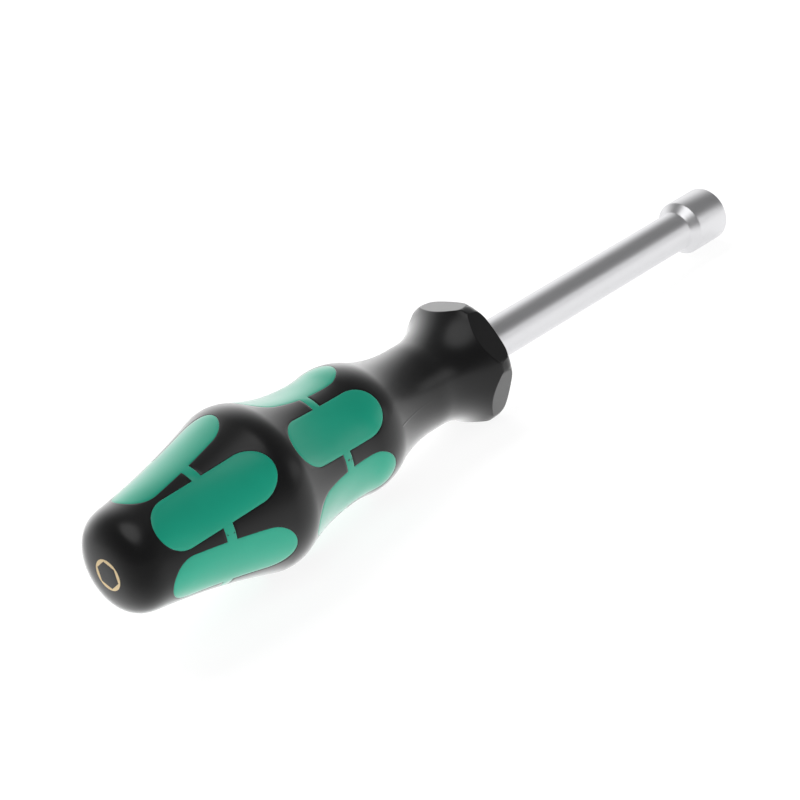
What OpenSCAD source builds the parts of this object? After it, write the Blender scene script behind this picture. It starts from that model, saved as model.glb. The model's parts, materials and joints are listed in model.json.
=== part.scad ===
// Nut driver with a hollow shaft and a moulded handle in a hard and a soft plastic.
// Each piece is drawn along +Z, with z as the distance from the butt of the handle.
// It is then laid along +X: the centre of the socket's mouth is the origin, and one
// flat of the collar faces down, which is how the tool lies on a bench.

/* [Socket and shaft] */
// Width across the flats of the hexagonal socket
socket_af = 10.1; // [8:0.1:13]
// Depth of the hexagon from the mouth
socket_depth = 10; // [6:0.5:16]
// Wall of the head outside the hexagon's corners
head_wall = 0.75; // [0.6:0.05:2]
// Length of the head behind the hexagon's floor
head_back = 0.5; // [0.3:0.1:5]
// Length of the cone between shaft and head
shoulder_len = 1.9; // [0.5:0.1:6]
// Bevel round the outside of the mouth
mouth_bevel = 0.4; // [0.1:0.05:0.5]
// Bore of the hollow shaft, which clears the rod that the nut runs on
rod_bore_d = 6.6; // [4:0.1:7.6]
// Length of that bore behind the socket
rod_bore_len = 76; // [30:1:110]
// Angle of the drill point at the end of the bore
drill_angle = 118; // [90:1:140]
// Wall of the hollow shaft
shaft_wall = 1.45; // [0.8:0.05:2]
// Length of the blade in front of the handle
blade_len = 89.5; // [60:0.5:150]

/* [Tang] */
// Length of the blade inside the handle
tang_len = 62; // [45:1:80]
// Bevel at the end of the tang
tang_bevel = 1; // [0.2:0.1:2]
// Span across the two wings that are pressed out of the tang
wing_span = 13.6; // [12.5:0.1:15]
// Thickness of the wings
wing_t = 3; // [2:0.1:5]
// Length of the wings along the axis
wing_len = 12; // [6:0.5:18]
// Distance from the end of the tang to the wings
wing_back = 4; // [2:0.5:10]

/* [Handle core] */
// Width across the flats of the thick rear bar
core_rear_af = 16.5; // [15.5:0.1:17.5]
// Width across the flats of the slim front bar
core_front_af = 13; // [12:0.1:14.5]
// Distance from the butt to the rear end of the core
core_from = 18; // [15:0.5:24]
// Distance from the butt to the step between the two bars
core_step_at = 63; // [58:0.5:68]
// Distance from the butt to the front end of the core
core_to = 97; // [90:0.5:100]
// Number of grooves round the rear bar that lock the shell
groove_count = 4; // [1:1:5]
// Width of a groove
groove_w = 3; // [1:0.5:4]
// Depth of a groove
groove_depth = 1; // [0.5:0.1:1.4]

/* [Handle profile] */
// Length over which the butt rounds off
butt_round = 7.2; // [4:0.1:12]
// Fullness of the butt's dome, where 2 is an ellipse
butt_fullness = 3; // [2:0.1:5]
// Point behind the butt where the rear flank would run level
flank_low_at = -15; // [-40:1:-5]
// Diameter that the rear flank would have there
flank_low_d = 20; // [17:0.1:22]
// Distance from the butt to the crest of the rear bulge
rear_crest_at = 37.8; // [36:0.1:40]
// Diameter of the rear bulge
rear_crest_d = 36.8; // [33:0.1:42]
// Radius of the rear bulge's crest, seen from the side
rear_crest_round = 9; // [4:0.5:20]
// Distance from the butt to the waist
waist_at = 60; // [55:0.5:63]
// Diameter of the waist
waist_d = 28.3; // [27:0.1:31]
// Distance from the butt to the crest of the front bulge
front_crest_at = 65.8; // [64:0.1:70]
// Diameter of the front bulge
front_crest_d = 29.25; // [28:0.05:33]
// Radius of the front bulge's crest, seen from the side
front_crest_round = 14; // [6:0.5:25]
// Distance from the butt to the rear end of the neck
neck_from = 86.5; // [80:0.5:88]
// Length of the straight part of the neck
neck_len = 3.5; // [0.5:0.5:6]
// Diameter of the neck
neck_d = 20.05; // [18.5:0.05:24]

/* [Collar] */
// Distance from the neck's front end to the crest of the collar
collar_rise = 12.1; // [10:0.1:20]
// Diameter of the collar at its crest
collar_d = 29.6; // [28:0.05:34]
// Radius of the collar's crest, seen from the side
collar_round = 1.5; // [0.5:0.1:8]
// Width across the flats that stop the tool from rolling
collar_af = 26.6; // [25:0.1:30]
// Length of the rounded rim in front of the crest
collar_rim = 3.4; // [0.8:0.1:4]
// Fullness of that rim's curve, where 2 is an ellipse
rim_fullness = 3; // [2:0.1:5]
// Diameter of the collar's front face
collar_face_d = 25; // [18:0.1:27]
// Clearance of the hole that the shaft leaves the handle by
shaft_gap = 0.05; // [0.02:0.01:0.3]

/* [Soft zones] */
// Number of pads in each ring, and of flats on the collar
flat_count = 6; // [5:1:6]
// Width of a pad
pad_w = 11.1; // [8:0.1:12]
// Thickness of the soft plastic in the middle of a pad
pad_depth = 2.6; // [2:0.1:3]
// Distance from the butt to the rear end of the rear pads
rear_pad_from = 7.5; // [5:0.1:12]
// Distance from the butt to the front end of the rear pads
rear_pad_to = 35; // [28:0.1:36]
// Distance from the butt to the rear end of the front pads
front_pad_from = 41.2; // [39:0.1:45]
// Distance from the butt to the front end of the front pads
front_pad_to = 67.3; // [60:0.1:70]
// Width of the bridges that join the pads of a ring
bridge_w = 2.1; // [1:0.1:4]
// Depth of the bridges
bridge_depth = 1.2; // [0.8:0.1:2]
// How far the bridges run into the pads
bridge_lap = 1; // [0.5:0.1:2]
// How much lower the handle lies at the rear pads than at the ridges
rear_flat = 0.25; // [0:0.05:0.6]
// How much lower the handle lies at the front pads than at the ridges
front_flat = 0.45; // [0:0.05:0.8]

/* [Hidden] */

// Smoothness of round parts, and of the rounded ends of the pads
$fn = 64;
pad_fn = 32;
// Facets round the handle, and how far a cut runs past the face it opens
sides = 48;
past = 1;

collar_at = neck_from + neck_len + collar_rise;
handle_len = collar_at + collar_rim;
total_len = handle_len + blade_len;
socket_corner_r = socket_af / 2 / cos(30);
head_r = socket_corner_r + head_wall;
head_at = total_len - socket_depth - head_back;
shoulder_at = head_at - shoulder_len;
shaft_r = rod_bore_d / 2 + shaft_wall;
tang_from = handle_len - tang_len;
rod_bore_from = total_len - socket_depth - rod_bore_len;
flat_step = 360 / flat_count;
reach = max(rear_crest_d, front_crest_d, collar_d) / 2 + past;

// The profile's high and low points, each as distance from the butt and radius
flank_low = [flank_low_at, flank_low_d / 2];
rear_crest = [rear_crest_at, rear_crest_d / 2];
waist = [waist_at, waist_d / 2];
front_crest = [front_crest_at, front_crest_d / 2];
neck_rear = [neck_from, neck_d / 2];
neck_front = [neck_from + neck_len, neck_d / 2];
collar_crest = [collar_at, collar_d / 2];

// Rise of an arc of radius rho, a distance x from its lowest point
function arc_rise(x, rho) = rho - sqrt(rho * rho - x * x);

// Two tangent arcs from a low point to a high one, level at both ends.
// The upper arc has the crest's own radius, unless the rise is too short for it.
function ogee(z, low, high, crest_round) =
    let (
        run = abs(high[0] - low[0]),
        rise = high[1] - low[1],
        both = (run * run + rise * rise) / (2 * max(abs(rise), 0.001)),
        upper = min(crest_round, 0.9 * both),
        lower = both - upper,
        along = abs(z - low[0])
    )
    along < run * lower / both
        ? low[1] + sign(rise) * arc_rise(along, lower)
        : high[1] - sign(rise) * arc_rise(run - along, upper);

// Quarter of a full ellipse: what is left of its height at a share of its length
function quarter(along, fullness) = pow(1 - pow(min(along, 1), fullness), 1 / fullness);

// The rounded rim from the collar's crest to its front face
function rim_r(z) =
    collar_face_d / 2 + (collar_d - collar_face_d) / 2 * quarter((z - collar_at) / collar_rim, rim_fullness);

// Radius of the handle's side profile, before the butt is rounded
function side_r(z) =
    z < rear_crest_at ? ogee(z, flank_low, rear_crest, rear_crest_round)
    : z < waist_at ? ogee(z, waist, rear_crest, rear_crest_round)
    : z < front_crest_at ? ogee(z, waist, front_crest, front_crest_round)
    : z < neck_rear[0] ? ogee(z, neck_rear, front_crest, front_crest_round)
    : z < neck_front[0] ? neck_d / 2
    : z < collar_at ? ogee(z, neck_front, collar_crest, collar_round)
    : rim_r(z);

// Share of the side profile that the domed butt keeps
function dome_share(z) =
    z >= butt_round ? 1 : quarter(1 - z / butt_round, butt_fullness);

function handle_r(z) = side_r(z) * dome_share(z);

// Hump from 0 to 1 and back over a ring of pads
function hump(z, from, to) = z <= from || z >= to ? 0 : pow(sin(180 * (z - from) / (to - from)), 2);

// Drop of the handle's surface at the middle of the pads
function pad_drop(z) =
    rear_flat * hump(z, rear_pad_from, rear_pad_to) + front_flat * hump(z, front_pad_from, front_pad_to);

// Radius of the rounded polygon that is the handle's section, at an angle from a pad's middle
function section_r(z, angle) = handle_r(z) - pad_drop(z) * (1 + cos(flat_count * angle)) / 2;

// Even steps from one distance towards the next
function steps(from, to, count) = [for (i = [0:count - 1]) from + (to - from) * i / count];

// Distances from the butt at which the handle has a ring of points, closer where it curves more
stations = concat(
    [for (i = [1:7]) butt_round * pow(i / 8, 2)],
    steps(butt_round, rear_crest_at - rear_crest_round / 3, 9),
    steps(rear_crest_at - rear_crest_round / 3, rear_crest_at + rear_crest_round / 3, 4),
    steps(rear_crest_at + rear_crest_round / 3, waist_at, 7),
    steps(waist_at, front_crest_at, 2),
    steps(front_crest_at, neck_rear[0], 8),
    steps(neck_rear[0], neck_front[0], 1),
    steps(neck_front[0], collar_at - collar_round, 8),
    steps(collar_at - collar_round, collar_at, 3),
    [for (i = [0:5]) collar_at + collar_rim * sin(90 * i / 5)]
);

// Lays a piece along +X with the socket's mouth at the origin
module lay() translate([-total_len, 0, 0]) rotate([0, 90, 0]) children();

// Hexagonal bar whose flats line up with the collar's
module hex_bar(across, length) rotate(30) cylinder(d = across / cos(30), h = length, $fn = 6);

// The handle's loft: rings of points from the domed butt to the collar's front face
module handle_loft() {
    points = concat(
        [[0, 0, 0]],
        [for (z = stations, i = [0:sides - 1])
            let (angle = 360 * (i + 0.5) / sides, r = section_r(z, angle))
            [r * cos(angle), r * sin(angle), z]]
    );
    rings = len(stations);
    butt_faces = [for (i = [0:sides - 1]) [0, 1 + i, 1 + (i + 1) % sides]];
    side_faces = [for (k = [0:rings - 2], i = [0:sides - 1], upper = [0, 1])
        let (
            a = 1 + k * sides + i,
            b = 1 + k * sides + (i + 1) % sides
        )
        upper == 0 ? [a, a + sides, b] : [b, a + sides, b + sides]];
    front_face = [for (i = [sides - 1:-1:0]) 1 + (rings - 1) * sides + i];
    polyhedron(points, concat(butt_faces, side_faces, [front_face]));
}

// The outside of the whole handle, with the flats cut on the collar
module handle_form() {
    intersection() {
        handle_loft();
        union() {
            cylinder(r = reach, h = neck_front[0]);
            rotate(flat_step / 2)
                cylinder(d = collar_af / cos(flat_step / 2), h = handle_len + past, $fn = flat_count);
        }
    }
}

// A pad's outline as a straight prism, running out along +X
module pad_prism(from, to) {
    hull()
        for (z = [from + pad_w / 2, to - pad_w / 2])
            translate([0, 0, z])
                rotate([0, 90, 0])
                    cylinder(d = pad_w, h = reach, $fn = pad_fn);
}

// Everything above a pad's floor, which follows the handle's profile
module above_floor(from, to) {
    floor_steps = 10;
    rear = from - past;
    front = to + past;
    floor_line = [for (i = [0:floor_steps])
        let (z = rear + (front - rear) * i / floor_steps)
        [section_r(z, 0) - pad_depth, z]];
    rotate([90, 0, 0])
        linear_extrude(pad_w + 2 * past, center = true)
            polygon(concat([[reach, rear]], floor_line, [[reach, front]]));
}

// A channel with a round floor that joins two pads across the ridge between them
module bridge_channel(at) {
    ridge_r = handle_r(at);
    edge_r = sqrt(ridge_r * ridge_r - pad_w * pad_w / 4);
    half = edge_r * sin(flat_step / 2) - pad_w / 2 * cos(flat_step / 2) + bridge_lap;
    hull()
        for (x = [ridge_r - bridge_depth + bridge_w / 2, reach])
            translate([x, 0, at])
                rotate([90, 0, 0])
                    cylinder(d = bridge_w, h = 2 * half, center = true, $fn = 16);
}

// The room of one soft ring: its pads and the bridges between them
module ring_room(from, to) {
    for (k = [0:flat_count - 1]) {
        rotate(flat_step * k)
            intersection() {
                pad_prism(from, to);
                above_floor(from, to);
            }
        rotate(flat_step * (k + 0.5))
            bridge_channel((from + to) / 2);
    }
}

// The tang as the core closes round it: the shaft's own outline with its two wings
module tang_outline() {
    rotate_extrude()
        polygon([
            [0, tang_from],
            [shaft_r - tang_bevel, tang_from],
            [shaft_r, tang_from + tang_bevel],
            [shaft_r, handle_len],
            [0, handle_len]
        ]);
    translate([-wing_span / 2, -wing_t / 2, tang_from + wing_back])
        cube([wing_span, wing_t, wing_len]);
}

// The shaft in front of the handle, with its shoulder and head
module shaft_outline() {
    rotate_extrude()
        polygon([
            [0, handle_len],
            [shaft_r, handle_len],
            [shaft_r, shoulder_at],
            [head_r, head_at],
            [head_r, total_len - mouth_bevel],
            [head_r - mouth_bevel, total_len],
            [0, total_len]
        ]);
}

// The hexagon, the cone that leads the nut in, and the drilled bore for its rod
module socket_room() {
    lead_in = socket_corner_r - socket_af / 2;
    translate([0, 0, total_len - socket_depth])
        hex_bar(socket_af, socket_depth + past);
    translate([0, 0, total_len - lead_in])
        cylinder(r1 = socket_af / 2, r2 = socket_corner_r + past, h = lead_in + past);
    translate([0, 0, rod_bore_from])
        cylinder(d = rod_bore_d, h = rod_bore_len + past);
    drill_point = rod_bore_d / 2 / tan(drill_angle / 2);
    translate([0, 0, rod_bore_from - drill_point])
        cylinder(r1 = 0, r2 = rod_bore_d / 2, h = drill_point);
}

// The core's outside: two hexagonal bars, the rear one grooved
module core_outline() {
    translate([0, 0, core_from])
        hex_bar(core_front_af, core_to - core_from);
    translate([0, 0, core_from])
        hex_bar(core_rear_af - 2 * groove_depth, core_step_at - core_from);
    land = (core_step_at - core_from - groove_count * groove_w) / (groove_count + 1);
    for (k = [0:groove_count])
        translate([0, 0, core_from + k * (land + groove_w)])
            hex_bar(core_rear_af, land);
}

// One-piece steel blade: tang, hollow shaft and hexagonal socket
module blade() {
    color("#c4c5c9")
        lay()
            difference() {
                union() {
                    tang_outline();
                    shaft_outline();
                }
                socket_room();
            }
}

// Hard core, moulded on the tang before the shell
module handle_core() {
    color("#55575b")
        lay()
            difference() {
                core_outline();
                tang_outline();
            }
}

// Hard black shell: butt, ridges between the pads, bulges, neck and collar
module handle_shell() {
    color("#2c2b2e")
        lay()
            difference() {
                handle_form();
                ring_room(rear_pad_from, rear_pad_to);
                ring_room(front_pad_from, front_pad_to);
                core_outline();
                translate([0, 0, core_to - past])
                    cylinder(r = shaft_r + shaft_gap, h = handle_len - core_to + 2 * past);
            }
}

// Soft ring of pads behind the rear bulge
module rear_grip() {
    color("#27937a")
        lay()
            intersection() {
                handle_form();
                ring_room(rear_pad_from, rear_pad_to);
            }
}

// Soft ring of pads between the two bulges
module front_grip() {
    color("#27937a")
        lay()
            intersection() {
                handle_form();
                ring_room(front_pad_from, front_pad_to);
            }
}

blade();
handle_core();
handle_shell();
rear_grip();
front_grip();
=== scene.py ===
"""Looks of a hollow-shaft nut driver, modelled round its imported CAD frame."""
import json
import math

import bmesh
import bpy
from bpy.props import FloatProperty, FloatVectorProperty, PointerProperty, StringProperty
from mathutils import Euler, Matrix, Vector


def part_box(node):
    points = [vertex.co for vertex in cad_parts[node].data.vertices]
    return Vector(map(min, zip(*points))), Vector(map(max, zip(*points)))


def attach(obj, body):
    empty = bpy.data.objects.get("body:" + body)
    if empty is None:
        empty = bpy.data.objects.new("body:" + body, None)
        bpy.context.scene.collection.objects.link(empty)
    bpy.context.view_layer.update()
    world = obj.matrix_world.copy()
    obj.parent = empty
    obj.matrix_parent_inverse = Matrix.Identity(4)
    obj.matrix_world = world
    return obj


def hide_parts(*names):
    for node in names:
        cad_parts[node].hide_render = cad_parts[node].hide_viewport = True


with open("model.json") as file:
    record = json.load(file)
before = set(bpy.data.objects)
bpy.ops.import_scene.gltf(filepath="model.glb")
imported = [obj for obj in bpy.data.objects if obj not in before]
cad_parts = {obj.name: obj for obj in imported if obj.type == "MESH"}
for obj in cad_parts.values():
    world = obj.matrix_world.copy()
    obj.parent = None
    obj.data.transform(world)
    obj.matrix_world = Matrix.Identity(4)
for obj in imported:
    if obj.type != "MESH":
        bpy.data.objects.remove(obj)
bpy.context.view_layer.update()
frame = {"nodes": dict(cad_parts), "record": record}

bl_info = {
    "name": "Nut Driver",
    "version": (1, 0, 0),
    "blender": (4, 5, 0),
    "location": "View3D > Sidebar > Nut Driver",
    "description": "Builds a nut driver with a two-plastic handle on its CAD frame",
    "category": "Object",
}

MM = 0.001
BODY = "root"

# What the frame says: its box, the ends of the handle and blade, and the mounts
SHELL_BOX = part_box("handle_shell")
BLADE_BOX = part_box("blade")
MOUNTS = {mount["name"]: mount for mount in frame["record"]["mounts"]}
BUTT_X = SHELL_BOX[0].x
MOUTH_X = BLADE_BOX[1].x
ROD_BORE = MOUNTS["rod_bore"]["dims"]
SOCKET_HEAD = MOUNTS["socket_head"]["dims"]
COLLAR_FLAT = -MOUNTS["collar_flat"]["pos_m"][2]

# The handle's six like sectors, and the grooves of its core
SECTORS = 6
SECTOR = 2 * math.pi / SECTORS
CORE_GROOVES = 4

# How finely the forms are divided: points round a pad and round the blade, cuts along a pad's sides, across
# its panel and across the foil, and rings along the handle
PAD_ROUND = 128
BLADE_ROUND = 120
SIDE_CUTS = 9
PANEL_CUTS = 5
FOIL_CUTS = 3
DOME_RINGS = 26
BULGE_RINGS = 14
NECK_RINGS = 30
SLOPE_RINGS = 16
RIM_RINGS = 12

# How often a search is repeated: for an angle on a section, and for the edge of a flat
TURN_STEPS = 6
HALVINGS = 40

# Distances in metres within which points count as in line, and within which they are merged
IN_LINE = 1e-6
MERGE = 2e-6

# Angle in radians within which a point counts as on a panel's corner
IN_TURN = 1e-4

# Slack for points on the outline of a pad, and on the sides of a wing
PAD_SLACK = 0.05 * MM
WING_SLACK = 0.1 * MM

# Largest share of the two radii of an ogee that its crest may take
CREST_SHARE = 0.9

# Width of the camera's sensor in millimetres
SENSOR = 36

# Gloss that both moulded plastics share: dark when seen straight on, bright at a low angle
MOULDED_GLOSS = {
    "IOR": 1.49, "Specular Tint": (0.3, 0.3, 0.3, 1),
    "Coat Weight": 1.0, "Coat IOR": 1.3, "Coat Roughness": 0.26,
    "Sheen Weight": 0.8, "Sheen Roughness": 0.3,
}

# Material indices that mark the two plastics while the handle's skin is made
HARD = 0
SOFT = 1


def length(name, description, mm):
    """A size in millimetres as a Blender length."""
    return FloatProperty(name=name, description=description, default=mm * MM, unit="LENGTH", precision=5)


def angle(name, description, degrees):
    """An angle in degrees."""
    return FloatProperty(name=name, description=description, default=math.radians(degrees), subtype="ANGLE")


def number(name, description, value, unit="NONE"):
    """A number, such as a strength, with a unit where it has one."""
    return FloatProperty(name=name, description=description, default=value, unit=unit)


def hex_colour(name, description, value):
    """A colour as an sRGB hex value."""
    return StringProperty(name=name, description=description, default=value)


def direction(name, description, value):
    """A direction from the tool."""
    return FloatVectorProperty(name=name, description=description, default=value, subtype="DIRECTION")


def location(name, description, value):
    """A place in metres."""
    return FloatVectorProperty(name=name, description=description, default=value, subtype="TRANSLATION")


class BladeSizes(bpy.types.PropertyGroup):
    """Sizes of the steel blade"""
    shaft_d: length("Shaft", "Diameter of the hollow shaft", 9.5)
    socket_af: length("Socket", "Width across the flats of the hexagon", 10.1)
    socket_depth: length("Socket depth", "Depth of the hexagon from the mouth", 10)
    head_len: length("Head", "Length of the head up to the shoulder", 10.5)
    shoulder_len: length("Shoulder", "Length of the cone between shaft and head", 1.9)
    mouth_bevel: length("Mouth bevel", "Bevel round the outside of the mouth", 0.4)
    edge_round: length("Edge round", "Rounding of the turned edges", 0.22)
    tang_bevel: length("Tang bevel", "Bevel at the end of the tang", 1)
    wing_span: length("Wing span", "Span across the two wings of the tang", 13.6)
    wing_t: length("Wing thickness", "Thickness of the wings", 3)
    wing_len: length("Wing length", "Length of the wings", 12)
    wing_back: length("Wing place", "From the end of the tang to the wings", 4)
    drill_angle: angle("Drill angle", "Angle of the drill point at the end of the bore", 118)


class HandleSizes(bpy.types.PropertyGroup):
    """Sizes of the handle's outside and of its core"""
    butt_round: length("Butt round", "Length over which the butt rounds off", 7.2)
    butt_fullness: number("Butt fullness", "Fullness of the butt's dome, where 2 is an ellipse", 3)
    flank_low_at: length("Flank low point", "Where the rear flank would run level, behind the butt", -15)
    flank_low_d: length("Flank low diameter", "Diameter of the rear flank there", 20)
    rear_crest_at: length("Rear bulge place", "From the butt to the crest of the rear bulge", 37.8)
    rear_crest_d: length("Rear bulge", "Diameter of the rear bulge", (SHELL_BOX[1].z - SHELL_BOX[0].z) / MM)
    rear_crest_round: length("Rear bulge round", "Radius of its crest, seen from the side", 9)
    waist_at: length("Waist place", "From the butt to the waist", 60)
    waist_d: length("Waist", "Diameter of the waist", 28.3)
    front_crest_at: length("Front bulge place", "From the butt to the crest of the front bulge", 65.8)
    front_crest_d: length("Front bulge", "Diameter of the front bulge", 29.25)
    front_crest_round: length("Front bulge round", "Radius of its crest, seen from the side", 14)
    neck_from: length("Neck place", "From the butt to the rear end of the neck", 86.5)
    neck_len: length("Neck length", "Length of the straight part of the neck", 3.5)
    neck_d: length("Neck", "Diameter of the neck", 20.05)
    collar_rise: length("Collar rise", "From the neck to the crest of the collar", 12.1)
    collar_d: length("Collar", "Diameter of the collar at its crest", 29.6)
    collar_round: length("Collar round", "Radius of its crest, seen from the side", 1.5)
    collar_rim: length("Collar rim", "Length of the rounded rim in front of the crest", 3.4)
    rim_fullness: number("Rim fullness", "Fullness of that rim's curve, where 2 is an ellipse", 3)
    collar_face_d: length("Collar face", "Diameter of the collar's front face", 25)
    flat_edge: length("Flat edge", "How softly the collar's flats end", 0.07)
    flat_hug: length("Flat rings", "Spacing of the rings beside the edges of the flats", 0.12)
    flat_least: length("Flat least", "Half the space kept for those rings between two flats", 0.25)
    face_land: length("Face land", "Width of the narrow rings at both edges of the front face", 0.3)
    shaft_gap: length("Shaft gap", "Clearance of the hole that the shaft leaves by", 0.05)
    line_from: length("Parting line from", "From the butt to the rear end of the mould's line", 70.8)
    line_to: length("Parting line to", "From the butt to where that line runs out", 85)
    line_w: length("Parting line width", "Width of that line", 0.2)
    line_h: length("Parting line height", "Height of that line at its rear end", 0.05)
    core_from: length("Core rear", "From the butt to the rear end of the core", 18)
    core_step_at: length("Core step", "From the butt to the core's step", 63)
    core_to: length("Core front", "From the butt to the front end of the core", 97)
    core_rear_af: length("Core rear bar", "Width across flats of the rear bar", 16.5)
    core_front_af: length("Core front bar", "Width across flats of the front bar", 13)
    groove_w: length("Groove width", "Width of the core's locking grooves", 3)
    groove_depth: length("Groove depth", "Depth of the core's locking grooves", 1)


class GripSizes(bpy.types.PropertyGroup):
    """Sizes of the soft pads and bridges"""
    pad_w: length("Pad width", "Width of a pad", 11.1)
    pad_depth: length("Pad depth", "Thickness of the soft plastic in a pad", 2.6)
    rear_from: length("Rear pads from", "From the butt to the rear end of the rear pads", 7.5)
    rear_to: length("Rear pads to", "From the butt to the front end of the rear pads", 35)
    front_from: length("Front pads from", "From the butt to the rear end of the front pads", 41.2)
    front_to: length("Front pads to", "From the butt to the front end of the front pads", 67.3)
    bridge_w: length("Bridge width", "Width of the bridges between the pads", 2.1)
    bridge_depth: length("Bridge depth", "Thickness of the bridges", 1.2)
    rear_flat: length("Rear flattening", "How much lower the handle lies at the rear pads", 0.25)
    front_flat: length("Front flattening", "How much lower the handle lies at the front pads", 0.45)
    margin: length("Margin", "Hard plastic kept between a pad's end and the next form", 1)
    soft_edge: length("Soft edge", "Rounding of the pads' edges", 0.1)
    hard_edge: length("Hard edge", "Rounding of the pockets' edges", 0.06)


class PrintSizes(bpy.types.PropertyGroup):
    """Sizes of the drive symbol that is stamped on the butt"""
    ring_d: length("Ring", "Outside diameter of the stamped ring", 6.9)
    hexagon_d: length("Hexagon", "Width across the corners of the bare hexagon", 6.05)
    film: length("Foil", "Thickness of the foil", 0.006)
    off_y: length("Offset across", "Centre of the ring across the axis", -0.8)
    off_z: length("Offset up", "Centre of the ring above the axis", -0.3)


class Finishes(bpy.types.PropertyGroup):
    """Colours of the materials"""
    hard_black: hex_colour("Hard plastic", "Black polypropylene", "#060607")
    soft_green: hex_colour("Soft plastic", "Green elastomer", "#0D8C72")
    chrome: hex_colour("Satin chrome", "Chrome plating", "#E2E2E4")
    foil: hex_colour("Foil", "Pale gold stamping foil", "#FFE6B8")
    core_grey: hex_colour("Core", "Unseen core of the handle", "#5A5C60")
    paper: hex_colour("Paper", "Studio floor", "#B4B4B4")
    paper_shade: hex_colour("Paper shade", "Plain paper of the seen floor, for its shadow", "#6C6C6C")


class StudioSettings(bpy.types.PropertyGroup):
    """Camera, floor and light"""
    camera_at: location("Camera", "Place of the camera", (-0.4053, -0.3473, 0.1592))
    azimuth: angle("Azimuth", "Where the camera stands round the tool", -40.255)
    elevation: angle("Elevation", "How far the camera looks down", 19.365)
    roll: angle("Roll", "How far the camera leans", -15.348)
    lens: number("Lens", "Focal length on a 36 mm sensor", 100.343, unit="CAMERA")
    floor_size: length("Floor", "Side of the floor", 12000)
    table_light: number("Table light", "Light that the lit table sends up at the tool", 1.7)
    sheet_at: location("Sheet", "Middle of the white sheet that reflections show", (0.0, 0.05, -0.018))
    sheet_glow: number("Sheet glow", "Glow of the paper as it is seen, which the shade brings to white", 0.9)
    sheet_from: length("Sheet edge", "From that middle to where the sheet starts to fade", 170)
    sheet_to: length("Sheet end", "From that middle to where the sheet has faded", 240)
    softbox_from: direction("Softbox", "Direction of the softbox, above and behind", (0.15, 0.72, 0.68))
    softbox_far: length("Softbox distance", "Distance of the softbox", 900)
    softbox_size: length("Softbox size", "Side of the softbox", 1000)
    softbox_power: number("Softbox power", "Power of the softbox", 17.0, unit="POWER")
    backdrop_from: direction("Backdrop", "Direction of the lightest part of the room", (0.5, 0.86, 0.1))
    backdrop_edge: number("Backdrop edge", "Cosine off that direction where the room starts to lighten", 0.47)
    backdrop_full: number("Backdrop full", "Cosine off that direction where it is lightest", 0.92)
    room_dim: number("Room", "Light of the dim part of the room", 0.2)
    room_bright: number("Backdrop light", "Light of its lightest part", 1.25)
    top_from: direction("Top lamp", "Direction of the lamp overhead", (-0.3, -0.33, 0.9))
    top_edge: number("Top lamp edge", "Cosine off the lamp's middle where its light ends", 0.88)
    top_full: number("Top lamp full", "Cosine off the lamp's middle where it is full", 0.95)
    top_power: number("Top lamp light", "Strength of the lamp overhead", 1.6)
    front_from: direction("Front lamp", "Direction of the low lamp at the front right", (0.62, -0.78, 0.05))
    front_edge: number("Front lamp edge", "Cosine off the lamp's middle where its light ends", 0.92)
    front_full: number("Front lamp full", "Cosine off the lamp's middle where it is full", 0.99)
    front_power: number("Front lamp light", "Strength of the low lamp", 1.0)


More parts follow.
